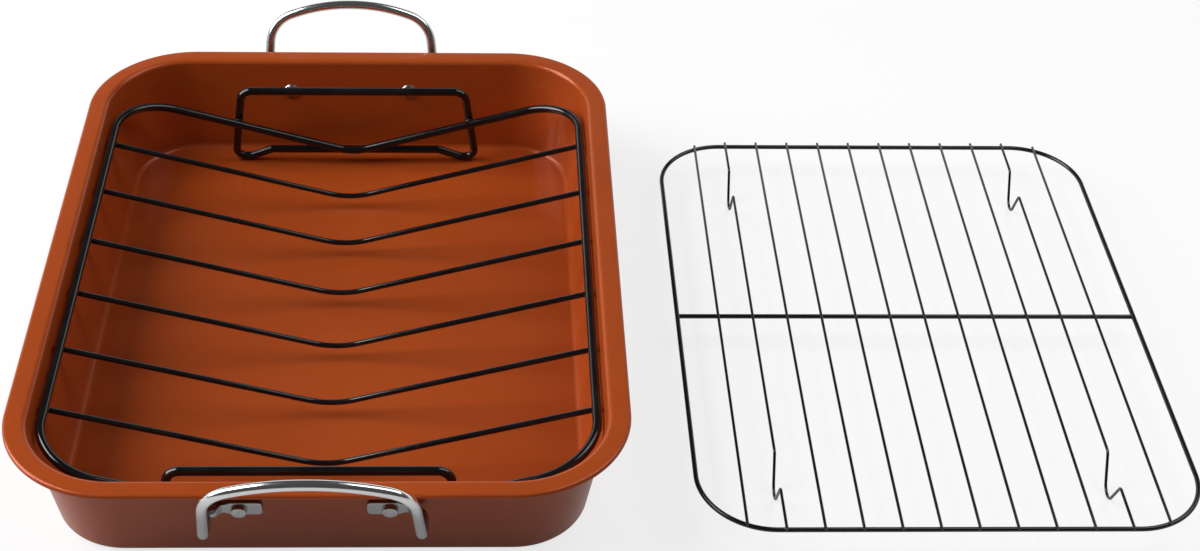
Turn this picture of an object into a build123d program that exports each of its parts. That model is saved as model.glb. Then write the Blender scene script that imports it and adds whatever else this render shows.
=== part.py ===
"""Roasting pan with two riveted rod handles, a V rack that stands in it and a flat rack beside it.

Millimetres and degrees, +Z up, +Y towards the back handle, origin on the surface under the pan's centre.
"""
import os
from math import asin, atan, cos, radians, sin, sqrt, tan

from build123d import *

# Pan: one pressed sheet with a flat rim, its edge turned down, sloping walls and rounded corners.
# Its width and length come from the V rack that stands in it.
rack_side_gap = 18.2
rack_end_gap = 37.2
rim_corner = 64.6
rim_flange = 12.5
pan_height = 64.5
pan_sheet = 0.9
wall_inset = 11.0
floor_radius = 4.0
shoulder_radius = 2.6
lip_height = 2.5
lip_radius = 1.9

# Handles: a bent rod over each short end, its two ends flattened into plates on the wall.
handle_rod = 6.0
handle_level = 42.0
handle_rise = 26.0
handle_reach = 4.6
handle_lean = 15.4
handle_shift_back = -2.3
leg_half = 57.5
shoulder_half = 53.9
arch_radius = 111.0
arch_flat = 1.0
handle_shoulder = 22.5
shoulder_run_share = 0.7
handle_bend = 6.0
foot_dip = 1.4
stub_bend = 4.4
stub_standoff = 3.7
neck_run = 3.6
plate_inner = 27.8
plate_outer = 49.0
plate_taper = 5.5
plate_height = 10.4
plate_neck = 7.0
plate_thick = 2.3
plate_corner = 2.4

# Rivets: a button head outside, a low dome inside.
rivet_half = 40.0
rivet_shank = 4.0
rivet_head = 9.0
rivet_face = 8.2
rivet_head_height = 3.0
rivet_head_edge = 0.5
rivet_dome = 10.6
rivet_dome_height = 2.2

# V rack: a thick wire frame with thin V rungs under its rails and a standing loop at each end.
wire_thick = 5.3
rung_wire = 3.4
weld_sink = 0.4
rack_clearance = 0.3
v_shift = 5.5
v_half_width = 151.8
v_half_length = 176.3
v_corner = 36.0
v_rail_level = 54.8
v_end_knee = 10.7
v_end_apex = 34.0
rung_count = 6
rung_margin = 49.4
rung_knee = 7.6
rung_apex = 50.0
loop_top_level = 56.6
loop_top_half = 75.0
loop_top_corner = 8.0
loop_foot_half = 82.0
loop_foot_run = 10.5
loop_foot_corner = 5.5
loop_bar_half = 57.0
loop_bar_level = 9.5
loop_bar_bend = 10.0
loop_shift_back = 1.2
loop_shift_front = -3.5

# Flat rack: a frame and a centre bar, thin wires laid across them, two of these bent into feet.
flat_gap = 38.0
flat_y = -14.0
flat_half_width = 141.2
flat_half_length = 180.3
flat_corner = 42.0
flat_level = 19.0
flat_wire = 2.8
grid_wire = 1.7
grid_sink = 0.3
grid_count = 12
grid_margin = 24.9
grid_overhang = 0.5
foot_rank = 1
foot_inset = 44.3
foot_slope = 63.0
foot_top_bend = 3.5
foot_bottom_bend = 7.0

# Every cutter runs this far to each side of the face that it cuts.
cut_overrun = 5.0

QUARTER_TURN = 90


def round_wire(path, diameter):
    """A round wire along a path."""
    start = Plane(origin=path @ 0, z_dir=path % 0)
    return sweep(start * Circle(diameter / 2), path=path)


def bent_wire(points, radii, diameter):
    """A round wire along straight runs joined by tangent bends."""
    return round_wire(FilletPolyline(*points, radius=radii), diameter)


def with_mirror(half, plane):
    return half + mirror(half, about=plane)


def evenly(count, reach):
    """Places spread evenly from minus reach to plus reach."""
    return [reach * (2 * i / (count - 1) - 1) for i in range(count)]


# Gaps run from the V rack's frame to the rim's edge, and from there to the flat rack's frame.
rim_width = 2 * (v_half_width + rack_side_gap)
rim_length = 2 * (v_half_length + rack_end_gap)
flat_x = rim_width / 2 + flat_gap + flat_half_width

# The wall's section is measured outwards from the upright axis of the rounded corners.
corner_x = rim_width / 2 - rim_corner
corner_y = rim_length / 2 - rim_corner
wall_top = rim_corner - rim_flange
wall_foot = wall_top - wall_inset
wall_slope = atan(wall_inset / (pan_height - pan_sheet))
inside_line = [
    (0, pan_sheet),
    (wall_foot, pan_sheet),
    (wall_top, pan_height),
    (rim_corner, pan_height),
    (rim_corner, pan_height - lip_height),
]


def beside(points, distance):
    """The corners of a line that runs beside another on its right, at a distance."""
    runs = [Vector(*b) - Vector(*a) for a, b in zip(points, points[1:])]
    normals = [Vector(run.Y, -run.X).normalized() for run in runs]
    before = [normals[0]] + normals
    after = normals + [normals[-1]]
    corners = []
    for point, a, b in zip(points, before, after):
        mitre = (a + b) * (distance / (1 + a.dot(b)))
        corners.append((point[0] + mitre.X, point[1] + mitre.Y))
    return corners


outside_line = beside(inside_line, pan_sheet)

back_place = Pos(handle_shift_back, 0, 0)


def outer_wall(level):
    """How far from the pan's centre the end wall's outer face stands at a level."""
    foot, top = outside_line[1], outside_line[2]
    return corner_y + foot[0] + (level - foot[1]) * tan(wall_slope)


def wall_plane(x):
    """On the back wall's outer face at the rivets' level, its Z pointing square out of the wall."""
    centre = (x, outer_wall(handle_level), handle_level)
    return Plane(origin=centre, x_dir=(1, 0, 0), z_dir=(0, cos(wall_slope), -sin(wall_slope)))


def rivet_hole(x):
    """A cutter through the back wall and the plate on it."""
    return wall_plane(x) * Cylinder(rivet_shank / 2, 2 * cut_overrun)


def make_section():
    inside_radii = [floor_radius, shoulder_radius + pan_sheet, lip_radius]
    outside_radii = [floor_radius + pan_sheet, shoulder_radius, lip_radius - pan_sheet]
    inside = FilletPolyline(*inside_line, radius=inside_radii)
    outside = FilletPolyline(*outside_line, radius=outside_radii)
    ends = [Line(inside @ 0, outside @ 0), Line(inside @ 1, outside @ 1)]
    return make_face(inside.edges() + outside.edges() + ends)


def make_pan():
    section = Pos(corner_x, 0, 0) * (Plane.XZ * make_section())
    corner_axis = Axis((corner_x, corner_y, 0), (0, 0, 1))
    side = extrude(section, amount=corner_y, dir=(0, 1, 0))
    at_corner = Pos(0, corner_y, 0) * section
    corner = revolve(at_corner, corner_axis, QUARTER_TURN)
    end = extrude(at_corner.rotate(corner_axis, QUARTER_TURN), amount=corner_x, dir=(-1, 0, 0))
    floor = Box(corner_x, corner_y, pan_sheet, align=(Align.MIN, Align.MIN, Align.MIN))
    half = with_mirror(side + corner + end + floor, Plane.YZ)
    pan = with_mirror(half, Plane.XZ)
    for x in (-rivet_half, rivet_half):
        pan -= back_place * rivet_hole(x)
        pan -= mirror(rivet_hole(x), about=Plane.XZ)
    return pan


def make_rivet(x):
    """A rivet in the back wall: button head on the plate, shank through plate and wall, dome inside."""
    shank = rivet_shank / 2
    head = rivet_head / 2
    face = rivet_face / 2
    dome = rivet_dome / 2
    head_top = plate_thick + rivet_head_height
    dome_low = -pan_sheet - rivet_dome_height
    dome_radius = (dome**2 + rivet_dome_height**2) / (2 * rivet_dome_height)
    outline = FilletPolyline(
        (dome, -pan_sheet), (shank, -pan_sheet), (shank, plate_thick), (head, plate_thick),
        (face, head_top), (0, head_top), radius=[0, 0, 0, rivet_head_edge],
    )
    crown = RadiusArc((0, dome_low), (dome, -pan_sheet), dome_radius)
    profile = make_face(outline.edges() + [crown, Line((0, head_top), (0, dome_low))])
    return wall_plane(x) * revolve(Plane.XZ * profile, Axis.Z)


def make_handle():
    """The back handle: one half from the middle of its arch to its riveted plate, then its mirror image.

    The legs' feet run back nearly square to the wall, so they stand lower than the plates.
    """
    lean = radians(handle_lean)
    foot_y = rim_length / 2 + handle_reach
    foot_run = (foot_y - outer_wall(handle_level)) / (cos(wall_slope) + sin(wall_slope) * tan(lean))
    foot_drop = foot_run * sin(wall_slope) / cos(lean) + foot_dip
    stub_y = outer_wall(handle_level) + stub_standoff * cos(wall_slope)
    stub_level = handle_level - stub_standoff * sin(wall_slope)
    neck_x = plate_outer + neck_run
    arch_end = shoulder_half - shoulder_run_share * handle_shoulder
    slope = asin((arch_end - arch_flat) / arch_radius)
    arch_x = arch_flat + arch_radius * tan(slope / 2)
    top = (pan_height + handle_rise - handle_level) / cos(lean)
    shoulder = top - (shoulder_half - arch_x) * tan(slope)

    def leaning(x, height):
        return (x, foot_y + height * sin(lean), handle_level + height * cos(lean))

    points = [
        leaning(0, top),
        leaning(arch_x, top),
        leaning(shoulder_half, shoulder),
        leaning(leg_half, -foot_drop),
        (leg_half, stub_y, stub_level),
        (neck_x, stub_y, stub_level),
    ]
    rod = bent_wire(points, [arch_radius, handle_shoulder, handle_bend, stub_bend], handle_rod)

    wall = wall_plane(rivet_half)
    inner = plate_inner - rivet_half
    outer = plate_outer - rivet_half
    outline = FilletPolyline(
        (inner, -plate_height / 2), (outer - plate_taper, -plate_height / 2), (outer, -plate_neck / 2),
        (outer, plate_neck / 2), (outer - plate_taper, plate_height / 2), (inner, plate_height / 2),
        radius=[plate_corner, plate_corner, 0, 0, plate_corner, plate_corner], close=True,
    )
    plate = wall * extrude(make_face(outline.edges()), plate_thick)
    plate_end = wall * (Pos(outer, 0, plate_thick / 2) * (Plane.YZ * Rectangle(plate_neck, plate_thick)))
    rod_end = Plane(origin=points[-1], z_dir=(1, 0, 0)) * Circle(handle_rod / 2)
    neck = loft([plate_end, rod_end])
    return with_mirror(rod + neck + plate - rivet_hole(rivet_half), Plane.YZ)


def make_v_frame():
    half = bent_wire(
        [
            (v_half_width, 0, v_rail_level),
            (v_half_width, v_half_length, v_rail_level),
            (0, v_half_length, v_end_knee),
            (-v_half_width, v_half_length, v_rail_level),
            (-v_half_width, 0, v_rail_level),
        ],
        [v_corner, v_end_apex, v_corner],
        wire_thick,
    )
    return with_mirror(half, Plane.XZ)


def make_rung(y, frame):
    """A V rung whose ends pass under the rails and are let into them at the weld."""
    rail_drop = (wire_thick + rung_wire) / 2 - weld_sink
    rise = (v_rail_level - rail_drop - rung_knee) / v_half_width
    end_x = v_half_width + wire_thick / 2
    end_level = rung_knee + rise * end_x
    points = [(-end_x, y, end_level), (0, y, rung_knee), (end_x, y, end_level)]
    return bent_wire(points, [rung_apex], rung_wire) - frame


def make_loop(shift, frame):
    """A loop at the back: lifting bar on top, two feet below, a raised bar between the feet."""
    y = v_half_length + wire_thick - weld_sink
    foot_level = pan_sheet + rack_clearance + wire_thick / 2
    half = bent_wire(
        [
            (0, y, loop_top_level),
            (loop_top_half, y, loop_top_level),
            (loop_foot_half, y, foot_level),
            (loop_foot_half - loop_foot_run, y, foot_level),
            (loop_bar_half, y, loop_bar_level),
            (0, y, loop_bar_level),
        ],
        [loop_top_corner, loop_foot_corner, loop_bar_bend, loop_bar_bend],
        wire_thick,
    )
    return Pos(shift, 0, 0) * with_mirror(half, Plane.YZ) - frame


def make_flat_frame():
    half = bent_wire(
        [
            (flat_half_width, 0, flat_level),
            (flat_half_width, flat_half_length, flat_level),
            (-flat_half_width, flat_half_length, flat_level),
            (-flat_half_width, 0, flat_level),
        ],
        [flat_corner, flat_corner],
        flat_wire,
    )
    return with_mirror(half, Plane.XZ)


def make_flat_bar(frame):
    path = Line((-flat_half_width, 0, flat_level), (flat_half_width, 0, flat_level))
    return round_wire(path, flat_wire) - frame


def frame_reach(x):
    """How far from the centre the flat frame's end wire runs at a place across it."""
    into_corner = max(abs(x) - (flat_half_width - flat_corner), 0)
    return flat_half_length - flat_corner + sqrt(flat_corner**2 - into_corner**2)


def make_grid_wire(x, has_feet, supports):
    """A thin wire over the frame and the bar, with two V feet where it has them."""
    level = flat_level + (flat_wire + grid_wire) / 2 - grid_sink
    end = frame_reach(x) + flat_wire / 2 + grid_overhang
    if has_feet:
        slope = radians(foot_slope)
        knee = grid_wire / 2 - foot_bottom_bend * (1 / cos(slope) - 1)
        spread = (level - knee) / tan(slope)
        place = flat_half_length - foot_inset
        points = [(x, -end, level)]
        for y in (-place, place):
            points += [(x, y - spread, level), (x, y, knee), (x, y + spread, level)]
        points.append((x, end, level))
        wire = bent_wire(points, [foot_top_bend, foot_bottom_bend, foot_top_bend] * 2, grid_wire)
    else:
        wire = round_wire(Line((x, -end, level), (x, end, level)), grid_wire)
    for support in supports:
        wire -= support
    return wire


parts = {"pan": make_pan()}

handle = make_handle()
parts["handle_back"] = back_place * handle
parts["handle_front"] = mirror(handle, about=Plane.XZ)
for side, x in (("left", -rivet_half), ("right", rivet_half)):
    rivet = make_rivet(x)
    parts[f"rivet_back_{side}"] = back_place * rivet
    parts[f"rivet_front_{side}"] = mirror(rivet, about=Plane.XZ)

v_place = Pos(0, -v_shift, 0)
v_frame = make_v_frame()
front_loop = mirror(make_loop(loop_shift_front, v_frame), about=Plane.XZ)
parts["v_rack_frame"] = v_place * v_frame
parts["v_rack_loop_back"] = v_place * make_loop(loop_shift_back, v_frame)
parts["v_rack_loop_front"] = v_place * front_loop
for i, y in enumerate(evenly(rung_count, v_half_length - rung_margin)):
    parts[f"v_rack_rung_{i + 1}"] = v_place * make_rung(y, v_frame)

flat_place = Pos(flat_x, flat_y, 0)
flat_frame = make_flat_frame()
flat_bar = make_flat_bar(flat_frame)
parts["flat_rack_frame"] = flat_place * flat_frame
parts["flat_rack_bar"] = flat_place * flat_bar
for i, x in enumerate(evenly(grid_count, flat_half_width - grid_margin)):
    has_feet = i in (foot_rank, grid_count - 1 - foot_rank)
    grid = make_grid_wire(x, has_feet, (flat_frame, flat_bar))
    parts[f"flat_rack_wire_{i + 1:02d}"] = flat_place * grid

os.makedirs("parts", exist_ok=True)
for name, solid in parts.items():
    export_step(solid, f"parts/{name}.step")
print(len(parts), "sub-parts written")
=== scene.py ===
from math import asin, atan, cos, pi, radians, sin, tan

import bmesh
import bpy
from mathutils import Matrix, Vector, noise


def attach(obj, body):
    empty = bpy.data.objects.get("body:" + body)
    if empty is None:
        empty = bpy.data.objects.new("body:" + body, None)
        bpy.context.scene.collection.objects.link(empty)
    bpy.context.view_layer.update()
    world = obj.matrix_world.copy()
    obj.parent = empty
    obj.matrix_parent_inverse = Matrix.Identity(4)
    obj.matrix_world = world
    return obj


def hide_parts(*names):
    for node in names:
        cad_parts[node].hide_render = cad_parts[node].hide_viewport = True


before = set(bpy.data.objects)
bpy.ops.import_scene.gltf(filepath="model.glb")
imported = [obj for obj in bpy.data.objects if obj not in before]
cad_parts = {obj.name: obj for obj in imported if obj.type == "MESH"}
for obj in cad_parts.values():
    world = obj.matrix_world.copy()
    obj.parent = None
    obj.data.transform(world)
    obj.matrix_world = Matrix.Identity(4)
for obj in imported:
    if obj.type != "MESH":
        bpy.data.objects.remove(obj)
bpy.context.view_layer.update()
print("frame loaded:", len(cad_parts), "nodes")

mm = 0.001  # the sizes below are millimetres, the scene is in metres
arcStep = radians(6)
arcRun = 1.6  # about the longest straight piece of a bend
cutEdgeShare = 0.45  # how much of a wire's radius is rounded at a cut end
weldSwell, weldGrain, weldVary = 0.16, 1.7, 0.37  # no two drops of weld are quite alike
sharpAngle = radians(48)


# A line is a list of (point, direction) pairs with its corners rounded to arcs.
def bentLine(corners, radii, closed=False):
    spots = [Vector(c) for c in corners]
    last = len(spots) - 1
    line = []
    for i, spot in enumerate(spots):
        if not closed and i in (0, last):
            run = spots[1] - spots[0] if i == 0 else spots[last] - spots[last - 1]
            line.append((spot, run.normalized()))
            continue
        back = (spots[i - 1] - spot).normalized()
        ahead = (spots[(i + 1) % len(spots)] - spot).normalized()
        radius = radii[i] if closed else radii[i - 1]
        half = back.angle(ahead) / 2
        centre = spot + (back + ahead).normalized() * radius / sin(half)
        start = (spot + back * radius / tan(half) - centre).normalized()
        end = (spot + ahead * radius / tan(half) - centre).normalized()
        axis = start.cross(end).normalized()
        turn = pi - 2 * half
        steps = max(3, round(turn / arcStep), round(turn * radius / arcRun))
        for k in range(steps + 1):
            spoke = start.slerp(end, k / steps)
            line.append((centre + spoke * radius, axis.cross(spoke).normalized()))
    return line


# Up and side directions at each point of a line, carried along it without twist.
def carriedDirections(line, up, closed):
    ups = []
    for point, along in line:
        up = (up - along * up.dot(along)).normalized()
        ups.append(up)
    twist = 0
    if closed:
        first, along = ups[0], line[0][1]
        back = (ups[-1] - along * ups[-1].dot(along)).normalized()
        twist = back.angle(first) * (1 if back.cross(first).dot(along) > 0 else -1)
    directions = []
    for i, (point, along) in enumerate(line):
        turned = Matrix.Rotation(twist * i / len(line), 3, along) @ ups[i]
        directions.append((turned, along.cross(turned)))
    return directions


def joinRings(shape, rings, closed):
    pairs = list(zip(rings, rings[1:]))
    if closed:
        pairs.append((rings[-1], rings[0]))
    for first, second in pairs:
        for k in range(len(first)):
            shape.faces.new((first[k - 1], first[k], second[k], second[k - 1]))


def sweep(shape, line, outlines, up, closed=False, caps=(True, True)):
    directions = carriedDirections(line, Vector(up), closed)
    rings = []
    for (point, along), (upward, side), outline in zip(line, directions, outlines):
        rings.append([shape.verts.new(point + upward * a + side * b) for a, b in outline])
    joinRings(shape, rings, closed)
    if caps[0] and not closed:
        shape.faces.new(rings[0])
    if caps[1] and not closed:
        shape.faces.new(rings[-1])


def roundOutline(radius, count=20):
    turns = [2 * pi * k / count for k in range(count)]
    return [(radius * cos(t), radius * sin(t)) for t in turns]


# A wire with softly rounded cut ends, or a closed one.
def addWire(shape, line, diameter, up, closed=False):
    radius = diameter / 2
    radii = [radius] * len(line)
    if not closed:
        edge = radius * cutEdgeShare
        turns = [radians(a) for a in (0, 30, 60, 90)]
        (start, first), (end, last) = line[0], line[-1]
        head = [(start + first * edge * (1 - cos(t)), first) for t in turns]
        tail = [(end - last * edge * (1 - cos(t)), last) for t in reversed(turns)]
        line = head + line[1:-1] + tail
        ends = [radius - edge * (1 - sin(t)) for t in turns]
        radii = ends + radii[1:-1] + ends[::-1]
    sweep(shape, line, [roundOutline(r) for r in radii], up, closed)


# A lump of weld under the coating, an uneven drop with three half sizes.
def addWeld(shape, centre, halves):
    centre = Vector(centre)
    made = bmesh.ops.create_icosphere(shape, subdivisions=3, radius=1)
    for vert in made["verts"]:
        swell = 1 + weldSwell * noise.noise(vert.co * weldGrain + centre * weldVary)
        vert.co = centre + Vector([c * h * swell for c, h in zip(vert.co, halves)])


def mirrorShape(shape, axis):
    everything = shape.verts[:] + shape.edges[:] + shape.faces[:]
    bmesh.ops.mirror(shape, geom=everything, matrix=Matrix(), merge_dist=0.001, axis=axis)


def makePiece(name, shape, node, body, finish, place=(0, 0, 0)):
    bmesh.ops.recalc_face_normals(shape, faces=shape.faces)
    mesh = bpy.data.meshes.new(name)
    shape.to_mesh(mesh)
    shape.free()
    mesh.transform(Matrix.Scale(mm, 4) @ Matrix.Translation(place))
    mesh.shade_smooth()
    mesh.set_sharp_from_angle(angle=sharpAngle)
    mesh.materials.append(finish)
    piece = bpy.data.objects.new(name, mesh)
    bpy.context.scene.collection.objects.link(piece)
    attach(piece, body)
    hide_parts(node)
    return piece


# Finishes. Noise scales are per metre, since every mesh stands in the frame's own place.
def newFinish(name):
    finish = bpy.data.materials.new(name)
    finish.use_nodes = True
    tree = finish.node_tree
    surface = tree.nodes["Principled BSDF"]
    place = tree.nodes.new("ShaderNodeTexCoord")
    return finish, tree, surface, place.outputs["Object"]


def addNoise(tree, place, scale, detail=2.0, rough=0.5):
    texture = tree.nodes.new("ShaderNodeTexNoise")
    texture.inputs["Scale"].default_value = scale
    texture.inputs["Detail"].default_value = detail
    texture.inputs["Roughness"].default_value = rough
    tree.links.new(place, texture.inputs["Vector"])
    return texture.outputs["Fac"]


def addRange(tree, value, low, high, toLow, toHigh):
    spread = tree.nodes.new("ShaderNodeMapRange")
    spread.interpolation_type = "SMOOTHSTEP"
    for name, number in (("From Min", low), ("From Max", high), ("To Min", toLow), ("To Max", toHigh)):
        spread.inputs[name].default_value = number
    tree.links.new(value, spread.inputs["Value"])
    return spread.outputs["Result"]


def addMix(tree, factor, first, second):
    mix = tree.nodes.new("ShaderNodeMix")
    mix.data_type = "RGBA"
    for socket, value in ((mix.inputs[0], factor), (mix.inputs[6], first), (mix.inputs[7], second)):
        if isinstance(value, bpy.types.NodeSocket):
            tree.links.new(value, socket)
        else:
            socket.default_value = value
    return mix.outputs[2]


def addBump(tree, height, strength, distance, under=None):
    bump = tree.nodes.new("ShaderNodeBump")
    bump.inputs["Strength"].default_value = strength
    bump.inputs["Distance"].default_value = distance
    tree.links.new(height, bump.inputs["Height"])
    if under:
        tree.links.new(under, bump.inputs["Normal"])
    return bump.outputs["Normal"]


# In each look a bump is a pair of strength and distance.
coatLook = {
    "deep": (0.380, 0.062, 0.0095, 1),
    "bright": (0.420, 0.071, 0.0120, 1),
    "driftScale": 7,
    "fleck": (0.56, 0.125, 0.028, 1),
    "fleckScale": 1900,
    "fleckAbove": 0.86,
    "fleckShare": 0.16,
    "metallic": 0.15,
    "smearScale": 38,
    "roughness": (0.285, 0.33),
    "peelScale": 620,
    "peel": (0.03, 0.0001),
    "specular": 0.16,
    "coat": 0.26,
    "coatRoughness": 0.06,
}


# The copper-coloured non-stick coating: slow tone drift, fine metal flecks and a faint orange peel.
def makeCopperCoat():
    look = coatLook
    finish, tree, surface, place = newFinish("copperCoat")
    drift = addRange(tree, addNoise(tree, place, look["driftScale"], 3), 0.35, 0.65, 0, 1)
    tone = addMix(tree, drift, look["deep"], look["bright"])
    flecks = tree.nodes.new("ShaderNodeTexVoronoi")
    flecks.inputs["Scale"].default_value = look["fleckScale"]
    tree.links.new(place, flecks.inputs["Vector"])
    split = tree.nodes.new("ShaderNodeSeparateColor")
    tree.links.new(flecks.outputs["Color"], split.inputs["Color"])
    lit = addRange(tree, split.outputs["Red"], look["fleckAbove"], 1.0, 0, look["fleckShare"])
    tree.links.new(addMix(tree, lit, tone, look["fleck"]), surface.inputs["Base Color"])
    smear = addNoise(tree, place, look["smearScale"], 4)
    tree.links.new(addRange(tree, smear, 0.3, 0.7, *look["roughness"]), surface.inputs["Roughness"])
    peel = addBump(tree, addNoise(tree, place, look["peelScale"], 2), *look["peel"])
    tree.links.new(peel, surface.inputs["Normal"])
    surface.inputs["Metallic"].default_value = look["metallic"]
    surface.inputs["Specular IOR Level"].default_value = look["specular"]
    surface.inputs["Coat Weight"].default_value = look["coat"]
    surface.inputs["Coat Roughness"].default_value = look["coatRoughness"]
    return finish


blackLook = {
    "vRack": {
        "deep": (0.003, 0.003, 0.004, 1),
        "worn": (0.007, 0.007, 0.008, 1),
        "roughness": (0.12, 0.17),
    },
    "flatRack": {
        "deep": (0.003, 0.003, 0.003, 1),
        "worn": (0.007, 0.007, 0.007, 1),
        "roughness": (0.18, 0.24),
    },
    "wornScale": 45,
    "smearScale": 160,
    "runsScale": 110,
    "runs": (0.10, 0.0003),
    "peelScale": 900,
    "peel": (0.05, 0.00005),
    "specular": 0.42,
    "coat": 0.35,
    "coatRoughness": 0.05,
}


# The racks' black coating, thick and slightly wavy over the wire.
def makeBlackCoat(name, rack):
    look, own = blackLook, blackLook[rack]
    finish, tree, surface, place = newFinish(name)
    wear = addRange(tree, addNoise(tree, place, look["wornScale"], 3), 0.4, 0.7, 0, 1)
    tree.links.new(addMix(tree, wear, own["deep"], own["worn"]), surface.inputs["Base Color"])
    smear = addNoise(tree, place, look["smearScale"], 3)
    tree.links.new(addRange(tree, smear, 0.3, 0.7, *own["roughness"]), surface.inputs["Roughness"])
    runs = addBump(tree, addNoise(tree, place, look["runsScale"], 1), *look["runs"])
    peel = addBump(tree, addNoise(tree, place, look["peelScale"], 2), *look["peel"], runs)
    tree.links.new(peel, surface.inputs["Normal"])
    surface.inputs["Specular IOR Level"].default_value = look["specular"]
    surface.inputs["Coat Weight"].default_value = look["coat"]
    surface.inputs["Coat Roughness"].default_value = look["coatRoughness"]
    return finish


chromeLook = {
    "bright": (0.80, 0.80, 0.81, 1),
    "satin": (0.36, 0.36, 0.37, 1),
    "satinBelow": 0.060,
    "polishedAbove": 0.084,
    "raggedScale": 420,
    "ragged": 0.006,
    "satinRoughness": 0.30,
    "polishedRoughness": 0.15,
    "wavesScale": 95,
    "waves": (0.06, 0.0002),
    "grindScale": 2400,
    "grind": (0.03, 0.00003),
}


# Chrome: the arch is polished, the legs and the flattened ends are satin with fine grinding marks.
def makeChrome():
    look = chromeLook
    finish, tree, surface, place = newFinish("handleChrome")
    split = tree.nodes.new("ShaderNodeSeparateXYZ")
    tree.links.new(place, split.inputs["Vector"])
    ragged = tree.nodes.new("ShaderNodeMath")
    ragged.operation = "MULTIPLY_ADD"
    ragged.inputs[1].default_value = look["ragged"]
    tree.links.new(addNoise(tree, place, look["raggedScale"], 3), ragged.inputs[0])
    tree.links.new(split.outputs["Z"], ragged.inputs[2])
    polished = addRange(tree, ragged.outputs["Value"], look["satinBelow"], look["polishedAbove"], 0, 1)
    tree.links.new(addMix(tree, polished, look["satin"], look["bright"]), surface.inputs["Base Color"])
    shine = addRange(tree, polished, 0, 1, look["satinRoughness"], look["polishedRoughness"])
    tree.links.new(shine, surface.inputs["Roughness"])
    waves = addBump(tree, addNoise(tree, place, look["wavesScale"], 1), *look["waves"])
    grind = addBump(tree, addNoise(tree, place, look["grindScale"], 2), *look["grind"], waves)
    tree.links.new(grind, surface.inputs["Normal"])
    surface.inputs["Metallic"].default_value = 1.0
    return finish


steelLook = {
    "dull": (0.38, 0.38, 0.38, 1),
    "bright": (0.46, 0.46, 0.45, 1),
    "driftScale": 700,
    "roughness": (0.19, 0.26),
    "marksScale": 1800,
    "marks": (0.08, 0.0001),
}


# Satin steel of the rivets, with marks too fine to see one by one.
def makeRivetSteel():
    look = steelLook
    finish, tree, surface, place = newFinish("rivetSteel")
    drift = addRange(tree, addNoise(tree, place, look["driftScale"], 3), 0.3, 0.7, 0, 1)
    tree.links.new(addMix(tree, drift, look["dull"], look["bright"]), surface.inputs["Base Color"])
    tree.links.new(addRange(tree, drift, 0, 1, *look["roughness"]), surface.inputs["Roughness"])
    marks = addBump(tree, addNoise(tree, place, look["marksScale"], 2), *look["marks"])
    tree.links.new(marks, surface.inputs["Normal"])
    surface.inputs["Metallic"].default_value = 1.0
    return finish


copperCoat = makeCopperCoat()
vRackBlack = makeBlackCoat("vRackBlack", "vRack")
flatRackBlack = makeBlackCoat("flatRackBlack", "flatRack")
handleChrome = makeChrome()
rivetSteel = makeRivetSteel()
print("finishes made: 5")


panSizes = {
    "rimWidth": 340.0,
    "rimLength": 427.0,
    "rimCorner": 64.6,
    "rimFlange": 12.5,
    "height": 64.5,
    "sheet": 0.9,
    "wallInset": 11.0,
    "floorRadius": 4.0,
    "shoulderRadius": 2.6,
    "lipHeight": 2.5,
    "lipRadius": 1.9,
    "cornerSteps": 30,
    "lipSteps": 5,
    "floorStart": 8.0,
}
cornerX = panSizes["rimWidth"] / 2 - panSizes["rimCorner"]
cornerY = panSizes["rimLength"] / 2 - panSizes["rimCorner"]
wallTop = panSizes["rimCorner"] - panSizes["rimFlange"]
wallFoot = wallTop - panSizes["wallInset"]
wallSlope = atan(panSizes["wallInset"] / (panSizes["height"] - panSizes["sheet"]))


# The sheet's section from the floor out to the turned-down edge and back along its underside.
def panSection():
    size = panSizes
    sheet, height, rim = size["sheet"], size["height"], size["rimCorner"]
    lipEnd = height - size["lipHeight"]
    corners = [
        (size["floorStart"], 0, sheet),
        (wallFoot, 0, sheet),
        (wallTop, 0, height),
        (rim, 0, height),
        (rim, 0, lipEnd + sheet / 2),
    ]
    radii = [size["floorRadius"], size["shoulderRadius"] + sheet, size["lipRadius"]]
    upper = bentLine(corners, radii)
    section = [(p.x, p.z) for p, along in upper]
    for k in range(1, size["lipSteps"]):
        turn = -pi * k / size["lipSteps"]
        section.append((rim - sheet / 2 * (1 - cos(turn)), lipEnd + sheet / 2 * (1 + sin(turn))))
    section += [(p.x + along.z * sheet, p.z - along.x * sheet) for p, along in reversed(upper)]
    return section


def makePan():
    shape = bmesh.new()
    section = panSection()
    stations = [((cornerX, 0), (1, 0))]
    for k in range(panSizes["cornerSteps"] + 1):
        turn = pi / 2 * k / panSizes["cornerSteps"]
        stations.append(((cornerX, cornerY), (cos(turn), sin(turn))))
    stations.append(((0, cornerY), (0, 1)))
    rows = []
    for (x, y), (outX, outY) in stations:
        rows.append([shape.verts.new((x + outX * d, y + outY * d, z)) for d, z in section])
    for first, second in zip(rows, rows[1:]):
        for k in range(len(section) - 1):
            shape.faces.new((first[k], first[k + 1], second[k + 1], second[k]))
    for k, z in ((0, panSizes["sheet"]), (-1, 0)):
        shape.faces.new([row[k] for row in rows] + [shape.verts.new((0, 0, z))])
    mirrorShape(shape, "X")
    mirrorShape(shape, "Y")
    return makePiece("panBody", shape, "pan", "pan", copperCoat)


makePan()
print("pan made")


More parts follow.
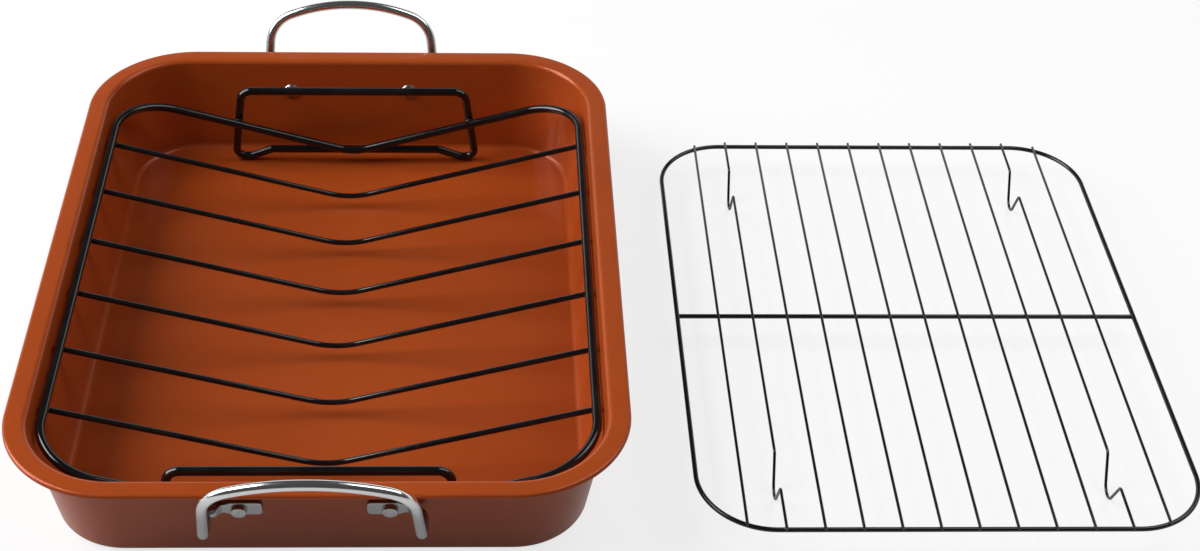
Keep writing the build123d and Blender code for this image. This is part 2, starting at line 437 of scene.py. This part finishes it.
handleSizes = {
    "rod": 6.0,
    "level": 42.0,
    "rise": 26.0,
    "reach": 4.6,
    "lean": 15.4,
    "shift": {"back": -2.3, "front": 0.0},
    "legHalf": 57.5,
    "shoulderHalf": 53.9,
    "archRadius": 111.0,
    "archFlat": 1.0,
    "shoulder": 22.5,
    "shoulderRunShare": 0.7,
    "footBend": 6.0,
    "footDip": 1.4,
    "stubBend": 4.4,
    "stubStandoff": 3.7,
    "neckRun": 3.6,
    "plateInner": 27.8,
    "plateOuter": 49.0,
    "plateTaper": 5.5,
    "plateHeight": 10.4,
    "plateNeck": 7.0,
    "plateThick": 2.3,
    "plateCorner": 2.4,
    "plateSquareness": 7.0,
    "plateEndShare": 0.86,
    "plateEndSteps": 6,
    "taperSteps": 8,
    "taperSoftening": 2,
    "rivetHalf": 40.0,
}
wallOut = Vector((0, cos(wallSlope), -sin(wallSlope)))
wallUp = Vector((0, sin(wallSlope), cos(wallSlope)))


# How far from the middle the end wall's outer face stands at a level.
def outerWall(level):
    inner = cornerY + wallFoot + (level - panSizes["sheet"]) * tan(wallSlope)
    return inner + panSizes["sheet"] / cos(wallSlope)


def wallPoint(x):
    return Vector((x, outerWall(handleSizes["level"]), handleSizes["level"]))


def smooth(t):
    return t * t * (3 - 2 * t)


# The rod's line from its stub by the plate, square out to the foot, up the leaning leg to the arch's middle.
def handleLine():
    size = handleSizes
    lean = radians(size["lean"])
    wallY = outerWall(size["level"])
    footY = panSizes["rimLength"] / 2 + size["reach"]
    footRun = (footY - wallY) / (cos(wallSlope) + sin(wallSlope) * tan(lean))
    footDrop = footRun * sin(wallSlope) / cos(lean) + size["footDip"]
    stubY = wallY + size["stubStandoff"] * cos(wallSlope)
    stubLevel = size["level"] - size["stubStandoff"] * sin(wallSlope)
    archEnd = size["shoulderHalf"] - size["shoulderRunShare"] * size["shoulder"]
    slope = asin((archEnd - size["archFlat"]) / size["archRadius"])
    archX = size["archFlat"] + size["archRadius"] * tan(slope / 2)
    top = (panSizes["height"] + size["rise"] - size["level"]) / cos(lean)
    shoulderTop = top - (size["shoulderHalf"] - archX) * tan(slope)

    def leaning(x, height):
        return (x, footY + height * sin(lean), size["level"] + height * cos(lean))

    corners = [
        (size["plateOuter"] + size["neckRun"], stubY, stubLevel),
        (size["legHalf"], stubY, stubLevel),
        leaning(size["legHalf"], -footDrop),
        leaning(size["shoulderHalf"], shoulderTop),
        leaning(archX, top),
        leaning(0, top),
    ]
    return bentLine(corners, [size["stubBend"], size["footBend"], size["shoulder"], size["archRadius"]])


roundness = 2  # the squareness of a circle


# An outline between a circle and a rounded slab.
def plateOutline(halfUp, halfOut, squareness, count=48):
    outline = []
    for k in range(count):
        turn = 2 * pi * (k + 0.5) / count
        up, out = cos(turn), sin(turn)
        a = abs(up) ** (2 / squareness) * (1 if up > 0 else -1)
        b = abs(out) ** (2 / squareness) * (1 if out > 0 else -1)
        outline.append((halfUp * a, halfOut * b))
    return outline


# The flattened end: rounded inner end, full plate, taper, then the swell back into the round rod.
def plateRings(neck):
    size = handleSizes
    halfUp, halfOut, halfRod = size["plateHeight"] / 2, size["plateThick"] / 2, size["rod"] / 2
    corner, square, softening = size["plateCorner"], size["plateSquareness"], size["taperSoftening"]
    endShare, endSteps, steps = size["plateEndShare"], size["plateEndSteps"], size["taperSteps"]
    line, outlines = [], []

    def addRing(centre, up, out, squareness):
        line.append((centre, Vector((1, 0, 0))))
        outlines.append(plateOutline(up, out, squareness))

    for k in range(endSteps + 1):
        turn = pi / 2 * k / endSteps
        centre = wallPoint(size["plateInner"] + corner * (1 - cos(turn))) + wallOut * halfOut
        pinch = endShare + (1 - endShare) * sin(turn)
        addRing(centre, halfUp - corner * (1 - sin(turn)), halfOut * pinch, square)
    taperStart, halfNeck = size["plateOuter"] - size["plateTaper"], size["plateNeck"] / 2
    for k in range(steps + 1):
        t = k / steps
        centre = wallPoint(taperStart + size["plateTaper"] * t) + wallOut * halfOut
        addRing(centre, halfUp + (halfNeck - halfUp) * smooth(t), halfOut, square - softening * t)
    plateEnd = wallPoint(size["plateOuter"]) + wallOut * halfOut
    for k in range(1, steps):
        t = k / steps
        eased = smooth(t)
        up = halfNeck + (halfRod - halfNeck) * eased
        out = halfOut + (halfRod - halfOut) * eased
        addRing(plateEnd.lerp(neck, t), up, out, (square - softening) * (1 - eased) + roundness * eased)
    return line, outlines


def makeHandle(end):
    shape = bmesh.new()
    rod = handleLine()
    line, outlines = plateRings(rod[0][0])
    radius = handleSizes["rod"] / 2
    outlines += [plateOutline(radius, radius, roundness)] * len(rod)
    sweep(shape, line + rod, outlines, wallUp, caps=(True, False))
    mirrorShape(shape, "X")
    if end == "front":
        bmesh.ops.scale(shape, vec=(1, -1, 1), verts=shape.verts)
    name, place = f"handle{end.title()}", (handleSizes["shift"][end], 0, 0)
    return makePiece(name, shape, f"handle_{end}", "pan", handleChrome, place)


rivetSizes = {
    "shank": 4.0,
    "head": 9.0,
    "face": 8.2,
    "headHeight": 3.0,
    "headEdge": 0.5,
    "crown": 0.2,
    "dome": 10.6,
    "domeHeight": 2.2,
    "steps": 48,
    "domeSteps": 8,
    "edgeSteps": 5,
    "crownShares": (0.66, 0.33, 0),
}


# The rivet's outline as (radius, height) pairs from the tip of its inner dome to its crown.
def rivetProfile():
    size = rivetSizes
    sheet, thick = panSizes["sheet"], handleSizes["plateThick"]
    dome, domeHeight, edge = size["dome"] / 2, size["domeHeight"], size["headEdge"]
    ballRadius = (dome**2 + domeHeight**2) / (2 * domeHeight)
    reach = asin(dome / ballRadius)
    profile = []
    for k in range(size["domeSteps"] + 1):
        turn = reach * k / size["domeSteps"]
        profile.append((ballRadius * sin(turn), -sheet - domeHeight + ballRadius * (1 - cos(turn))))
    face, top = size["face"] / 2, thick + size["headHeight"] - size["crown"]
    profile += [(size["shank"] / 2, -sheet), (size["shank"] / 2, thick), (size["head"] / 2, thick)]
    for k in range(size["edgeSteps"] + 1):
        turn = pi / 2 * k / size["edgeSteps"]
        profile.append((face - edge * (1 - cos(turn)), top - edge * (1 - sin(turn))))
    flat = face - edge
    for share in size["crownShares"]:
        profile.append((flat * share, top + size["crown"] * (1 - share**2)))
    return profile


def makeRivet(end, side, x):
    shape = bmesh.new()
    foot = wallPoint(x)
    steps = rivetSizes["steps"]
    rings = []
    for radius, height in rivetProfile():
        spots = []
        for k in range(steps if radius else 1):
            turn = 2 * pi * k / steps
            spoke = Vector((cos(turn), 0, 0)) + wallUp * sin(turn)
            spots.append(shape.verts.new(foot + wallOut * height + spoke * radius))
        rings.append(spots)
    joinRings(shape, rings[1:-1], False)
    for tip, ring in ((rings[0], rings[1]), (rings[-1], rings[-2])):
        for k in range(steps):
            shape.faces.new((tip[0], ring[k - 1], ring[k]))
    if end == "front":
        bmesh.ops.scale(shape, vec=(1, -1, 1), verts=shape.verts)
    name, place = f"rivet{end.title()}{side.title()}", (handleSizes["shift"][end], 0, 0)
    return makePiece(name, shape, f"rivet_{end}_{side}", "pan", rivetSteel, place)


for end in ("back", "front"):
    makeHandle(end)
    for side, x in (("left", -handleSizes["rivetHalf"]), ("right", handleSizes["rivetHalf"])):
        makeRivet(end, side, x)
print("handles and rivets made")


vRackSizes = {
    "wire": 5.3,
    "rungWire": 3.4,
    "sink": 0.4,
    "clearance": 0.3,
    "shift": 5.5,
    "halfWidth": 151.8,
    "halfLength": 176.3,
    "corner": 36.0,
    "railLevel": 54.8,
    "endKnee": 10.7,
    "endApex": 34.0,
    "rungCount": 6,
    "rungMargin": 49.4,
    "rungKnee": 7.6,
    "rungApex": 50.0,
    "weld": (1.9, 2.4, 0.8),
    "weldInset": 0.3,
    "weldRise": 0.1,
}
loopSizes = {
    "topLevel": 56.6,
    "topHalf": 75.0,
    "topCorner": 8.0,
    "footHalf": 82.0,
    "footRun": 10.5,
    "footCorner": 5.5,
    "barHalf": 57.0,
    "barLevel": 9.5,
    "barBend": 10.0,
    "shift": {"back": 1.2, "front": -3.5},
    "legWeld": (2.6, 0.9, 2.6),
    "barWeld": (5.0, 0.9, 1.9),
    "barWeldRise": 1.4,
    "settleRounds": 4,
}
vPlace = (0, -vRackSizes["shift"], 0)
endRise = (vRackSizes["railLevel"] - vRackSizes["endKnee"]) / vRackSizes["halfWidth"]


def spread(count, reach):
    return [reach * (2 * i / (count - 1) - 1) for i in range(count)]


def makeVFrame():
    size = vRackSizes
    shape = bmesh.new()
    width, length = size["halfWidth"], size["halfLength"]
    rail, knee = size["railLevel"], size["endKnee"]
    corners = [
        (width, length, rail),
        (0, length, knee),
        (-width, length, rail),
        (-width, -length, rail),
        (0, -length, knee),
        (width, -length, rail),
    ]
    line = bentLine(corners, [size["corner"], size["endApex"], size["corner"]] * 2, closed=True)
    addWire(shape, line, size["wire"], (0, 0, 1), closed=True)
    return makePiece("vRackFrame", shape, "v_rack_frame", "v_rack", vRackBlack, vPlace)


# A thin V wire under both rails, with a weld where it meets each of them.
def makeRung(number, y):
    size = vRackSizes
    shape = bmesh.new()
    thin = size["rungWire"]
    drop = (size["wire"] + thin) / 2 - size["sink"]
    rise = (size["railLevel"] - drop - size["rungKnee"]) / size["halfWidth"]
    endX = size["halfWidth"] + size["wire"] / 2
    endLevel = size["rungKnee"] + rise * endX
    corners = [(-endX, y, endLevel), (0, y, size["rungKnee"]), (endX, y, endLevel)]
    addWire(shape, bentLine(corners, [size["rungApex"]]), thin, (0, 1, 0))
    weldLevel = size["railLevel"] - size["wire"] / 2 + size["weldRise"]
    for sign in (-1, 1):
        weldX = sign * (size["halfWidth"] - size["weldInset"])
        addWeld(shape, (weldX, y, weldLevel), size["weld"])
    name, node = f"vRackRung{number}", f"v_rack_rung_{number}"
    return makePiece(name, shape, node, "v_rack", vRackBlack, vPlace)


# A standing loop: lifting bar on top, two feet below, a raised bar between them.
def makeLoop(end):
    size, wire = loopSizes, vRackSizes["wire"]
    shape = bmesh.new()
    y = vRackSizes["halfLength"] + wire - vRackSizes["sink"]
    foot = panSizes["sheet"] + vRackSizes["clearance"] + wire / 2
    right = [
        ((size["topHalf"], y, size["topLevel"]), size["topCorner"]),
        ((size["footHalf"], y, foot), size["footCorner"]),
        ((size["footHalf"] - size["footRun"], y, foot), size["barBend"]),
        ((size["barHalf"], y, size["barLevel"]), size["barBend"]),
    ]
    left = [((-x, y, z), radius) for (x, y, z), radius in reversed(right)]
    corners, radii = zip(*(right + left))
    addWire(shape, bentLine(corners, radii, closed=True), wire, (0, 1, 0), closed=True)
    shift = size["shift"][end]
    bmesh.ops.translate(shape, vec=(shift, 0, 0), verts=shape.verts)
    legTilt = (size["footHalf"] - size["topHalf"]) / (size["topLevel"] - foot)
    for sign in (-1, 1):
        legX = size["topHalf"]
        for k in range(size["settleRounds"]):  # finds where the sloping end wire passes the leg
            level = vRackSizes["endKnee"] + endRise * abs(sign * legX + shift)
            legX = size["topHalf"] + legTilt * (size["topLevel"] - level)
        addWeld(shape, (sign * legX + shift, y - wire / 2, level), size["legWeld"])
    addWeld(shape, (0, y - wire / 2, size["barLevel"] + size["barWeldRise"]), size["barWeld"])
    if end == "front":
        bmesh.ops.scale(shape, vec=(1, -1, 1), verts=shape.verts)
    name, node = f"vRackLoop{end.title()}", f"v_rack_loop_{end}"
    return makePiece(name, shape, node, "v_rack", vRackBlack, vPlace)


makeVFrame()
for i, y in enumerate(spread(vRackSizes["rungCount"], vRackSizes["halfLength"] - vRackSizes["rungMargin"])):
    makeRung(i + 1, y)
for end in ("back", "front"):
    makeLoop(end)
print("V rack made")


flatRackSizes = {
    "x": 349.2,
    "y": -14.0,
    "halfWidth": 141.2,
    "halfLength": 180.3,
    "corner": 42.0,
    "level": 19.0,
    "wire": 2.8,
    "gridWire": 1.7,
    "gridSink": 0.3,
    "gridCount": 12,
    "gridMargin": 24.9,
    "gridOverhang": 0.5,
    "footRank": 1,
    "footInset": 44.3,
    "footSlope": 63.0,
    "footTopBend": 3.5,
    "footBottomBend": 7.0,
    "barWeld": (0.9, 1.75, 1.3),
    "barWeldInset": 0.2,
    "gridWeld": (1.15, 1.0, 0.4),
    "gridWeldDrop": 0.1,
}
flatPlace = (flatRackSizes["x"], flatRackSizes["y"], 0)


def makeFlatFrame():
    size = flatRackSizes
    shape = bmesh.new()
    width, length, level = size["halfWidth"], size["halfLength"], size["level"]
    corners = [
        (width, length, level),
        (-width, length, level),
        (-width, -length, level),
        (width, -length, level),
    ]
    line = bentLine(corners, [size["corner"]] * 4, closed=True)
    addWire(shape, line, size["wire"], (0, 0, 1), closed=True)
    name, node = "flatRackFrame", "flat_rack_frame"
    return makePiece(name, shape, node, "flat_rack", flatRackBlack, flatPlace)


def makeFlatBar():
    size = flatRackSizes
    shape = bmesh.new()
    end = size["halfWidth"] - size["wire"] / 2 + size["gridSink"]
    line = bentLine([(-end, 0, size["level"]), (end, 0, size["level"])], [])
    addWire(shape, line, size["wire"], (0, 0, 1))
    for sign in (-1, 1):
        addWeld(shape, (sign * (end - size["barWeldInset"]), 0, size["level"]), size["barWeld"])
    name, node = "flatRackBar", "flat_rack_bar"
    return makePiece(name, shape, node, "flat_rack", flatRackBlack, flatPlace)


# How far from the middle the end wire runs at a place across the rack.
def frameReach(x):
    size = flatRackSizes
    into = max(abs(x) - (size["halfWidth"] - size["corner"]), 0)
    return size["halfLength"] - size["corner"] + (size["corner"] ** 2 - into**2) ** 0.5


# A thin wire over the frame and the bar; two of them dip to the table in V feet.
def makeGridWire(number, x, hasFeet):
    size = flatRackSizes
    shape = bmesh.new()
    thin = size["gridWire"]
    level = size["level"] + (size["wire"] + thin) / 2 - size["gridSink"]
    reach = frameReach(x)
    end = reach + size["wire"] / 2 + size["gridOverhang"]
    corners, radii = [(x, -end, level)], []
    if hasFeet:
        slope = radians(size["footSlope"])
        knee = thin / 2 - size["footBottomBend"] * (1 / cos(slope) - 1)
        run = (level - knee) / tan(slope)
        place = size["halfLength"] - size["footInset"]
        for y in (-place, place):
            corners += [(x, y - run, level), (x, y, knee), (x, y + run, level)]
            radii += [size["footTopBend"], size["footBottomBend"], size["footTopBend"]]
    corners.append((x, end, level))
    addWire(shape, bentLine(corners, radii), thin, (1, 0, 0))
    weldLevel = size["level"] + size["wire"] / 2 - size["gridWeldDrop"]
    for y in (-reach, 0, reach):
        addWeld(shape, (x, y, weldLevel), size["gridWeld"])
    name, node = f"flatRackWire{number:02d}", f"flat_rack_wire_{number:02d}"
    return makePiece(name, shape, node, "flat_rack", flatRackBlack, flatPlace)


makeFlatFrame()
makeFlatBar()
rank, count = flatRackSizes["footRank"], flatRackSizes["gridCount"]
for i, x in enumerate(spread(count, flatRackSizes["halfWidth"] - flatRackSizes["gridMargin"])):
    makeGridWire(i + 1, x, i in (rank, count - 1 - rank))
print("flat rack made")


cameraSettings = {
    "place": (0.089525, -0.94477, 0.80066),
    "tilt": 38.872,
    "yaw": 2.2444,
    "roll": 1.5062,
    "lens": 59.59,
    "shift": (0.0461, 0.0012),
}


def makeCamera():
    setup = cameraSettings
    data = bpy.data.cameras.new("studioCamera")
    data.lens = setup["lens"]
    data.shift_x, data.shift_y = setup["shift"]
    data.clip_start, data.clip_end = 0.01, 50
    camera = bpy.data.objects.new("studioCamera", data)
    bpy.context.scene.collection.objects.link(camera)
    turned = (
        Matrix.Rotation(-radians(setup["yaw"]), 4, "Z")
        @ Matrix.Rotation(radians(90 - setup["tilt"]), 4, "X")
        @ Matrix.Rotation(radians(setup["roll"]), 4, "Z")
    )
    camera.matrix_world = Matrix.Translation(setup["place"]) @ turned
    bpy.context.scene.camera = camera


lampSettings = {
    "leftBox": {"place": (-1.55, 0.10, 1.20), "aim": (0.05, 0, 0), "size": (1.3, 1.9), "watts": 53},
    "rightBox": {"place": (1.35, 0.25, 1.70), "aim": (0.15, 0, 0), "size": (1.2, 1.9), "watts": 17},
}


def makeLamps():
    for name, setup in lampSettings.items():
        data = bpy.data.lights.new(name, "AREA")
        data.shape = "RECTANGLE"
        data.size, data.size_y = setup["size"]
        data.energy = setup["watts"]
        lamp = bpy.data.objects.new(name, data)
        place = Vector(setup["place"])
        lamp.location = place
        lamp.rotation_euler = (Vector(setup["aim"]) - place).to_track_quat("-Z", "Y").to_euler()
        bpy.context.scene.collection.objects.link(lamp)


roomSettings = {
    "dark": 0.07,
    "light": 1.0,
    "lean": (0.0, 0.42, -0.91),
    "fade": 0.12,
}


# The room round the table: a white sweep low behind the set, dark overhead and on the camera's side.
# The camera itself sees white.
def makeRoom():
    world = bpy.data.worlds.new("studioRoom")
    bpy.context.scene.world = world
    world.use_nodes = True
    tree = world.node_tree
    shade = tree.nodes["Background"]
    shade.inputs["Color"].default_value = (1, 1, 1, 1)
    place = tree.nodes.new("ShaderNodeTexCoord")
    facing = tree.nodes.new("ShaderNodeVectorMath")
    facing.operation = "DOT_PRODUCT"
    facing.inputs[1].default_value = roomSettings["lean"]
    tree.links.new(place.outputs["Generated"], facing.inputs[0])
    fade, dark, light = roomSettings["fade"], roomSettings["dark"], roomSettings["light"]
    room = addRange(tree, facing.outputs["Value"], -fade, fade, dark, light)
    path = tree.nodes.new("ShaderNodeLightPath")
    seen = tree.nodes.new("ShaderNodeMath")
    seen.operation = "MAXIMUM"
    tree.links.new(room, seen.inputs[0])
    tree.links.new(path.outputs["Is Camera Ray"], seen.inputs[1])
    tree.links.new(seen.outputs["Value"], shade.inputs["Strength"])


tableSettings = {
    "half": 6.0,
    "drop": 0.0002,
    "roughness": 0.9,
    "shade": 0.45,
    "glow": 0.76,
    "mirroredShare": 0.46,
}


# A wide pale table that takes the set's soft shadow. The camera sees it white where nothing shades it.
def makeTable():
    shape = bmesh.new()
    half = tableSettings["half"]
    corners = [(-half, -half, 0), (half, -half, 0), (half, half, 0), (-half, half, 0)]
    shape.faces.new([shape.verts.new(c) for c in corners])
    mesh = bpy.data.meshes.new("table")
    shape.to_mesh(mesh)
    shape.free()
    finish = bpy.data.materials.new("paleTable")
    finish.use_nodes = True
    tree = finish.node_tree
    surface = tree.nodes["Principled BSDF"]
    surface.inputs["Roughness"].default_value = tableSettings["roughness"]
    surface.inputs["Specular IOR Level"].default_value = 0.0
    path = tree.nodes.new("ShaderNodeLightPath")
    seen = path.outputs["Is Camera Ray"]
    rayShares = (("Is Glossy Ray", tableSettings["mirroredShare"]), ("Is Transmission Ray", 1.0))
    for name, share in rayShares:
        part = addRange(tree, path.outputs[name], 0, 1, 0, share)
        either = tree.nodes.new("ShaderNodeMath")
        either.operation = "MAXIMUM"
        tree.links.new(seen, either.inputs[0])
        tree.links.new(part, either.inputs[1])
        seen = either.outputs["Value"]
    shade, glow = tableSettings["shade"], tableSettings["glow"]
    rest = 1 - glow
    pale = addMix(tree, seen, (shade, shade, shade, 1), (rest, rest, rest, 1))
    tree.links.new(pale, surface.inputs["Base Color"])
    surface.inputs["Emission Color"].default_value = (1, 1, 1, 1)
    tree.links.new(addRange(tree, seen, 0, 1, 0, glow), surface.inputs["Emission Strength"])
    mesh.materials.append(finish)
    table = bpy.data.objects.new("table", mesh)
    table.location = (0, 0, -tableSettings["drop"])
    bpy.context.scene.collection.objects.link(table)


makeCamera()
makeLamps()
makeRoom()
makeTable()
bpy.context.scene.view_settings.view_transform = "Standard"
print("camera, lamps and table set")
